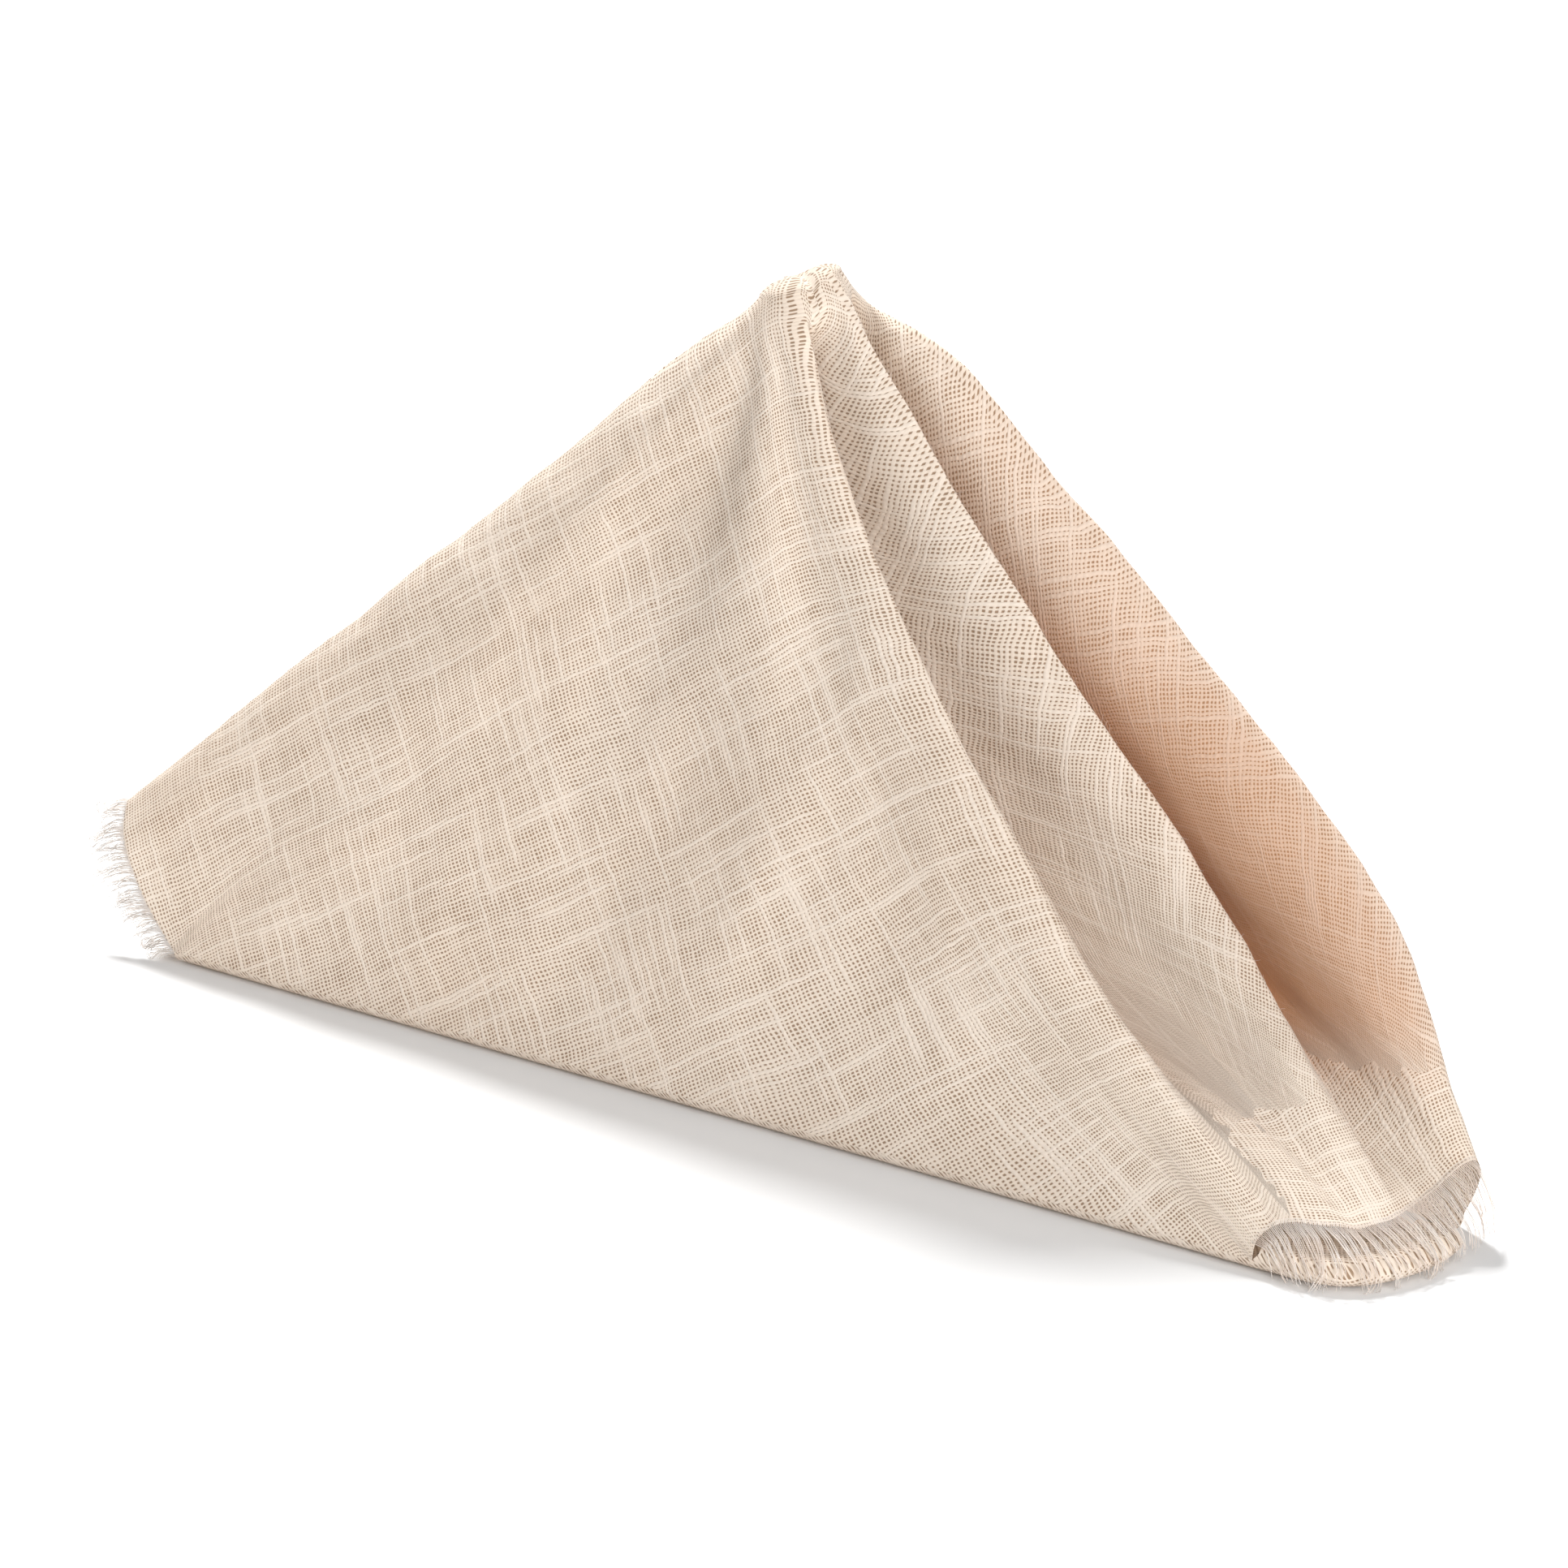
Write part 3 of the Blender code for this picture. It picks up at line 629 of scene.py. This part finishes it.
class Nodes:
    """Short ways to add and link a material's shader nodes."""

    def __init__(self, material):
        material.use_nodes = True
        self.tree = material.node_tree
        self.tree.nodes.clear()

    def add(self, kind, inputs=None, **settings):
        node = self.tree.nodes.new(kind)
        for key, value in settings.items():
            setattr(node, key, value)
        for key, value in (inputs or {}).items():
            self.put(node.inputs[key], value)
        return node

    def put(self, socket, value):
        if isinstance(value, bpy.types.NodeSocket):
            self.tree.links.new(value, socket)
        else:
            socket.default_value = value

    def math(self, operation, a, b=0.0, c=0.0):
        node = self.add("ShaderNodeMath", operation=operation)
        for socket, value in zip(node.inputs, (a, b, c)):
            self.put(socket, value)
        return node.outputs[0]

    def ramp(self, value, a, b, low=0.0, high=1.0):
        node = self.add("ShaderNodeMapRange", {"Value": value, "From Min": a, "From Max": b,
                                               "To Min": low, "To Max": high},
                        interpolation_type="SMOOTHSTEP")
        return node.outputs[0]

    def mix(self, factor, a, b):
        node = self.add("ShaderNodeMix", data_type="RGBA")
        for key, value in ((0, factor), (6, a), (7, b)):
            self.put(node.inputs[key], value)
        return node.outputs[2]

    def noise2(self, x, y, scale, detail=0.0):
        at = self.add("ShaderNodeCombineXYZ", {0: x, 1: y})
        return self.add("ShaderNodeTexNoise", {"Vector": at.outputs[0], "Scale": scale,
                                               "Detail": detail}, noise_dimensions="2D").outputs[0]


def weave(n, place, pitch):
    """Height, gap, slub and tone of an open plain weave at flat-cloth positions in mm."""
    flat = n.add("ShaderNodeSeparateXYZ", {0: place})
    x, y = flat.outputs[0], flat.outputs[1]
    slow = n.noise2(x, y, 0.035)
    quick = n.noise2(y, x, 0.3)
    u = n.math("DIVIDE", n.math("ADD", n.math("MULTIPLY_ADD", slow, 3.2, x),
                                n.math("MULTIPLY", quick, 0.55)), pitch[0])
    v = n.math("DIVIDE", n.math("ADD", n.math("MULTIPLY_ADD", slow, -2.6, y),
                                n.math("MULTIPLY", quick, -0.5)), pitch[1])

    def thread(across, length, seed):
        """One way's threads: distance from the middle, row number, slub, tone and lumps."""
        row = n.math("FLOOR", across)
        off = n.math("ABSOLUTE", n.math("SUBTRACT", n.math("FRACT", across), 0.5))
        off = n.math("MULTIPLY", off, 2.0)
        key = n.math("MULTIPLY_ADD", row, 7.31, seed)
        slub = n.ramp(n.noise2(n.math("MULTIPLY", length, 0.024), key, 1.0), 0.64, 0.75)
        tone = n.add("ShaderNodeTexWhiteNoise", {"W": key}, noise_dimensions="1D").outputs[0]
        lumps = n.noise2(n.math("MULTIPLY", length, 0.16), key, 1.0)
        return off, row, slub, tone, lumps

    ou, ru, su, tu, lu = thread(u, v, 3.1)
    ov, rv, sv, tv, lv = thread(v, u, 91.7)

    def gap(off, slub, tone, lumps):
        """How open the cloth is beside a thread, which is wider at a slub or a lump."""
        start = n.math("ADD", n.math("MULTIPLY_ADD", slub, 0.34, 0.22),
                       n.math("MULTIPLY_ADD", tone, 0.22, n.math("MULTIPLY", lumps, 0.34)))
        return n.ramp(n.math("SUBTRACT", off, start), -0.12, 0.16)

    hole = n.math("MULTIPLY", gap(ou, su, tu, lu), gap(ov, sv, tv, lv))

    def rise(off, slub, row, cross, sign):
        """Height of a thread that goes over and under the ones across it."""
        body = n.math("SUBTRACT", 1.0, n.math("MULTIPLY", off, off))
        body = n.math("SQRT", n.math("MAXIMUM", body, 0.0))
        body = n.math("MULTIPLY_ADD", n.math("MULTIPLY", body, slub), 0.55, body)
        wave = n.math("MULTIPLY", n.math("SINE", n.math("MULTIPLY", cross, math.pi)),
                      n.math("COSINE", n.math("MULTIPLY", row, math.pi)))
        return n.math("MULTIPLY_ADD", wave, 0.38 * sign, body)

    height = n.math("MAXIMUM", rise(ou, su, ru, v, 1), rise(ov, sv, rv, u, -1))
    slub = n.math("MAXIMUM", n.math("MULTIPLY", su, n.math("SUBTRACT", 1.0, ou)),
                  n.math("MULTIPLY", sv, n.math("SUBTRACT", 1.0, ov)))
    tone = n.math("ADD", n.math("MULTIPLY", tu, 0.5), n.math("MULTIPLY", tv, 0.5))
    return height, hole, slub, tone


def gauze(name):
    """Open gauze: thread colours, holes, painted shade between the threads and in the holes, painted
    warm shade deep in the folds, and light through the cloth.
    """
    material = bpy.data.materials.new(name)
    n = Nodes(material)
    place = n.add("ShaderNodeTexCoord").outputs["Object"]
    share = n.add("ShaderNodeAttribute", attribute_name="edge_share").outputs["Fac"]
    ragged = n.add("ShaderNodeTexNoise", {"Vector": place, "Scale": 300.0, "Detail": 0.0}).outputs[0]
    chosen = n.math("GREATER_THAN", n.math("ADD", share, ragged), 1.0)
    spot = n.add("ShaderNodeMix", {0: chosen, 4: n.add("ShaderNodeUVMap", uv_map="flat").outputs[0],
                                   5: n.add("ShaderNodeUVMap", uv_map="edge").outputs[0]},
                 data_type="VECTOR").outputs[1]
    height, hole, slub, tone = weave(n, spot, THREAD_PITCH)
    cloud = n.add("ShaderNodeTexNoise", {"Vector": place, "Scale": 22.0, "Detail": 3.0}).outputs[0]
    colour = n.mix(n.ramp(cloud, 0.3, 0.7), COLOUR_DEEP, COLOUR_PALE)
    colour = n.mix(n.math("MULTIPLY", tone, 0.35), colour, COLOUR_CREAM)
    # Painted shade where the threads lie low.
    colour = n.mix(n.ramp(height, 0.4, 1.2, 0.5, 0.0), colour, COLOUR_PAINTED_GAP_SHADE)
    colour = n.mix(n.math("MULTIPLY", slub, 0.36), colour, COLOUR_SLUB)
    # The holes get painted shade, for the shaded cloth seen through them.
    colour = n.mix(n.math("MULTIPLY", hole, 0.9), colour, COLOUR_PAINTED_HOLE_SHADE)
    # Painted warm shade deep in the folds, for light passed from cloth to cloth.
    painted_shade = n.add("ShaderNodeAttribute", attribute_name="painted_fold_shade").outputs["Fac"]
    colour = n.mix(painted_shade, colour, COLOUR_PAINTED_WARM_SHADE)
    relief = n.math("MULTIPLY", height, 0.16)
    bump = n.add("ShaderNodeBump", {"Height": relief, "Strength": 0.75, "Distance": 0.001})
    shader = n.add("ShaderNodeBsdfPrincipled", {"Base Color": colour, "Normal": bump.outputs[0],
                                                "Roughness": 0.94, "Sheen Weight": 0.18,
                                                "Sheen Roughness": 0.5, "Specular IOR Level": 0.12})
    glow = n.add("ShaderNodeBsdfTranslucent", {"Color": colour, "Normal": bump.outputs[0]})
    both = n.add("ShaderNodeMixShader", {0: 0.24, 1: shader.outputs[0], 2: glow.outputs[0]})
    out = n.add("ShaderNodeOutputMaterial")
    n.tree.links.new(both.outputs[0], out.inputs[0])
    return material


def ravelled(name, colour, tip):
    """Loose cotton threads that run from one colour to the other."""
    material = bpy.data.materials.new(name)
    n = Nodes(material)
    place = n.add("ShaderNodeTexCoord").outputs["Object"]
    fuzz = n.add("ShaderNodeTexNoise", {"Vector": place, "Scale": 900.0, "Detail": 3.0}).outputs[0]
    twist = n.add("ShaderNodeTexNoise", {"Vector": place, "Scale": 160.0, "Detail": 1.0}).outputs[0]
    base = n.mix(n.ramp(twist, 0.35, 0.65), colour, tip)
    base = n.mix(n.ramp(fuzz, 0.3, 0.7, 0.0, 0.3), base, COLOUR_FUZZ)
    bump = n.add("ShaderNodeBump", {"Height": fuzz, "Strength": 0.4, "Distance": 0.0002})
    shader = n.add("ShaderNodeBsdfPrincipled", {"Base Color": base, "Normal": bump.outputs[0],
                                                "Roughness": 0.9, "Sheen Weight": 0.3,
                                                "Specular IOR Level": 0.15})
    glow = n.add("ShaderNodeBsdfTranslucent", {"Color": base})
    both = n.add("ShaderNodeMixShader", {0: 0.45, 1: shader.outputs[0], 2: glow.outputs[0]})
    out = n.add("ShaderNodeOutputMaterial")
    n.tree.links.new(both.outputs[0], out.inputs[0])
    return material


class Threads:
    """Thin threads as three-sided tubes that taper to their tips."""

    def __init__(self):
        self.points, self.faces = [], []

    def add(self, path, radius):
        path = np.array(path, float)
        tangent = unit(np.gradient(path, axis=0))
        side = unit(np.cross(tangent, (0.31, 0.2, 0.93)))
        up = np.cross(side, tangent)
        rings = []
        for k, p in enumerate(path):
            r = radius * (1 - 0.45 * k / (len(path) - 1))
            ring = []
            for a in (0, 2.094, 4.189):
                self.points.append(p + (side[k] * math.cos(a) + up[k] * math.sin(a)) * r)
                ring.append(len(self.points) - 1)
            rings.append(ring)
        for a, b in zip(rings, rings[1:]):
            for k in range(3):
                self.faces.append((a[k], a[(k + 1) % 3], b[(k + 1) % 3], b[k]))
        self.faces.append(tuple(rings[0][::-1]))
        self.faces.append(tuple(rings[-1]))


def edge_points(grid, first, last, count):
    """Points spread evenly along the raw edge, with the way out and the way along."""
    a, b = column_of(first), column_of(last)
    n = grid.shape[1]
    run = [k % n for k in range(a, b + 1 if b >= a else b + n + 1)]
    foot, above = grid[-1, run], grid[-4, run]
    lengths = np.concatenate([[0], np.cumsum(np.linalg.norm(np.diff(foot, axis=0), axis=1))])
    s = np.linspace(0, lengths[-1], count)
    p = np.array([np.interp(s, lengths, foot[:, k]) for k in range(3)]).T
    out = unit(foot - above)
    out = unit(np.array([np.interp(s, lengths, out[:, k]) for k in range(3)]).T)
    tangent = unit(np.gradient(p, axis=0))
    out = unit(out - tangent * (out * tangent).sum(axis=1, keepdims=True))
    return p, out, tangent


def above_floor(path):
    return [np.array((q[0], q[1], max(q[2], THREAD_FLOOR))) for q in path]


def left_fringe(grid):
    """Locks that stand out level from the left raw edge, some curling back in loops."""
    b = Threads()
    p, _, tangent = edge_points(grid, "ridge", "left_foot_front", LEFT_THREADS)
    steps = np.linspace(0, 1, 12)
    for i in range(LEFT_THREADS):
        lock = i // LOCK
        middle = min(lock * LOCK + LOCK // 2, LEFT_THREADS - 1)
        pull = p[middle] - p[i]
        along_edge = i / LEFT_THREADS
        length = 6.2 + 4.6 * noise(lock + 7) * (0.45 + math.sin(math.pi * min(1, along_edge * 1.1)))
        length *= 0.72 + 0.36 * noise(i)
        droop = length * (0.16 + 0.3 * noise(lock + 31)) + 0.5 * noise(i + 3)
        curl = (noise(i + 11) - 0.5) * 2.6
        turn = (noise(lock + 63) - 0.5) * 2.4
        path = []
        for f in steps:
            q = p[i] + np.array(LEFT_WAY) * (length * f - 0.8)
            wander = turn * f * f + curl * math.sin(2.6 * f) * f * 0.6
            q = q + pull * 0.75 * f * f + tangent[i] * wander
            q[2] -= droop * f * f
            q[1] += 0.5 * math.sin(4 * f + 6 * noise(i + 5)) * f
            path.append(q)
        if noise(i + 90) > 0.8:
            hook = path[-1].copy()
            r = 0.9 + 1.1 * noise(i + 71)
            for a in np.linspace(0.3, 4.2, 9):
                path.append(hook + np.array((-math.sin(a) * r, 0.15 * a,
                                             (1 - math.cos(a)) * r * 0.8)))
        b.add(above_floor(path), THREAD_RADIUS * (0.75 + 0.5 * noise(i + 41)))
    # A low lock of the layer beneath, lying on the floor by the corner.
    for i in range(LOW_LOCK_THREADS):
        root = np.array((2.0 + 5 * noise(i), 1.2 + 9 * noise(i + 1), 1.4 + 0.5 * noise(i + 9)))
        length = 7.5 + 4.5 * noise(i + 2)
        sway = (noise(i + 4) - 0.5) * 0.5
        path = [root + np.array((-length * f, (sway - 0.1) * length * f,
                                 0.9 * math.sin(3 * f) * noise(i + 6) - 1.0 * f)) for f in steps]
        b.add(above_floor(path), THREAD_RADIUS * 0.9)
    return b


def right_fringe(grid):
    """Locks that fall over the turned-under end at the right raw edge, down to the floor."""
    b = Threads()
    p, out, _ = edge_points(grid, "right_edge_low", "back_roll", RIGHT_THREADS)
    outline = np.array(UNDER_END + UNDER_END_REAR, float)
    lengths = np.concatenate([[0], np.cumsum(np.linalg.norm(np.diff(outline, axis=0), axis=1))])

    def on_outline(s):
        s = min(max(s, 0.0), lengths[-1])
        return np.array([np.interp(s, lengths, outline[:, k]) for k in (0, 1)])

    for i in range(RIGHT_THREADS):
        lock = i // LOCK
        share = (i + 0.5) / RIGHT_THREADS
        centre = (lock * LOCK + LOCK / 2) / RIGHT_THREADS
        share += (centre - share) * 0.55 + (noise(lock + 5) - 0.5) * 0.02 + (noise(i) - 0.5) * 0.012
        s = lengths[-1] * share
        near = on_outline(s)
        d = unit(on_outline(s + 2.5) - on_outline(s - 2.5))
        outward = np.array((d[1], -d[0]))
        middle = near - outward * FOLD_RADIUS
        lift = max(0.0, p[i][2] - 9.0)
        r0 = FOLD_RADIUS + 0.7
        stop = -50 + 46 * noise(lock + 21) + 26 * (noise(i + 2) - 0.5)
        flare = 0.2 + 1.9 * noise(lock + 77) ** 2 + 0.9 * noise(i + 8)
        bend_by = (noise(i + 14) - 0.5) * 3.4 + (noise(lock + 15) - 0.5) * 5.0
        path = [p[i] - out[i] * 0.9, p[i] + out[i] * 0.3]
        for f in np.linspace(0.1, 1.0, 11):
            angle = math.radians(62 + (stop - 62) * f)
            r = r0 + flare * f * f
            at = middle + outward * r * math.cos(angle) + d * bend_by * f * f
            z = FLOOR_LEVEL + FOLD_RADIUS + r * math.sin(angle) + lift * (1 - f) ** 1.3
            q = np.array((at[0], at[1], max(z + 0.3 * noise(i + 6), THREAD_FLOOR)))
            root = p[i] + out[i] * 0.3 + np.array((0, 0, -3.0)) * f
            q += (root - q) * max(0.0, 0.6 - f) * 1.2
            path.append(q)
        b.add(path, THREAD_RADIUS * (0.8 + 0.5 * noise(i + 44)))
    return b


def stray_fibres(grid, count):
    """Short fine fibres that stand off the ridges of the folds."""
    b = Threads()
    for i in range(count):
        line = column_of(STRAY_LINES[i % len(STRAY_LINES)]) + int(4 * (noise(i) - 0.5))
        level = int((0.08 + 0.84 * noise(i + 2.5)) * LEVELS)
        q = grid[level, line % grid.shape[1]]
        away = unit(np.array((noise(i + 3) - 0.35, noise(i + 4) - 0.5, noise(i + 5) - 0.2)))
        sideways = unit(np.array((noise(i + 6) - 0.5, noise(i + 7) - 0.5, noise(i + 8) - 0.5)))
        length = 0.7 + 1.5 * noise(i + 9)
        b.add([q + away * length * f + sideways * length * 0.7 * math.sin(2.4 * f) * f
               for f in np.linspace(0, 1, 6)], STRAY_RADIUS)
    return b


def floor_and_light():
    """A plain pale floor under soft studio light."""
    bpy.ops.mesh.primitive_plane_add(size=30, location=(0, 0, -0.0002))
    floor = bpy.context.object
    floor.name = "floor"
    material = bpy.data.materials.new("pale_floor")
    n = Nodes(material)
    shader = n.add("ShaderNodeBsdfPrincipled", {"Base Color": COLOUR_FLOOR, "Roughness": 0.85,
                                                "Specular IOR Level": 0.1})
    out = n.add("ShaderNodeOutputMaterial")
    n.tree.links.new(shader.outputs[0], out.inputs[0])
    floor.data.materials.append(material)

    world = bpy.data.worlds.new("studio")
    bpy.context.scene.world = world
    world.use_nodes = True
    background = world.node_tree.nodes["Background"]
    background.inputs["Color"].default_value = (1.0, 1.0, 1.0, 1.0)
    background.inputs["Strength"].default_value = WORLD_LIGHT

    for name, place, size, power in LIGHTS:
        data = bpy.data.lights.new(name, "AREA")
        data.shape = "DISK"
        data.size = size
        data.energy = power
        lamp = bpy.data.objects.new(name, data)
        lamp.location = place
        look = Vector(LIGHTS_LOOK_AT) - Vector(place)
        lamp.rotation_euler = look.to_track_quat("-Z", "Y").to_euler()
        bpy.context.scene.collection.objects.link(lamp)


def camera():
    """The scene's camera, level from side to side."""
    data = bpy.data.cameras.new("camera")
    data.sensor_width = SENSOR_WIDTH
    data.lens = CAMERA_LENS
    data.clip_start = 0.01
    obj = bpy.data.objects.new("camera", data)
    a, e = math.radians(CAMERA_AZIMUTH), math.radians(CAMERA_ELEVATION)
    look = Vector((-math.sin(a) * math.cos(e), math.cos(a) * math.cos(e), -math.sin(e)))
    obj.location = CAMERA_PLACE
    obj.rotation_euler = look.to_track_quat("-Z", "Y").to_euler()
    bpy.context.scene.collection.objects.link(obj)
    bpy.context.scene.camera = obj


builder, grid = cloth_mesh()
points = shape_crown(np.array(builder.points))
cloth = to_object("napkin_cloth", points, builder.faces, gauze("cotton_gauze_woven"))
for layer_name, values in (("flat", builder.flat), ("edge", builder.edge)):
    layer = cloth.data.uv_layers.new(name=layer_name)
    layer.data.foreach_set("uv", np.array(values, float).ravel())
# The painted warm shade of the folds is kept at the corners.
for layer_name, values in (("edge_share", builder.share), ("painted_fold_shade", builder.painted_shade_values)):
    layer = cloth.data.attributes.new(layer_name, "FLOAT", "CORNER")
    layer.data.foreach_set("value", values)

left_cotton = ravelled("ravelled_left", *LEFT_COLOURS)
right_cotton = ravelled("ravelled_right", *RIGHT_COLOURS)
threads = left_fringe(grid)
left_threads = to_object("left_threads", threads.points, threads.faces, left_cotton)
threads = right_fringe(grid)
right_threads = to_object("right_threads", threads.points, threads.faces, right_cotton)
threads = stray_fibres(grid, STRAY_FIBRES)
fibres = to_object("stray_fibres", threads.points, threads.faces, right_cotton)

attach(cloth, "root")
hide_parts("cloth")
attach(left_threads, "root")
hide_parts("fringe_left")
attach(right_threads, "root")
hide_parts("fringe_right")
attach(fibres, "root")

floor_and_light()
camera()
bpy.context.scene.view_settings.view_transform = "Standard"
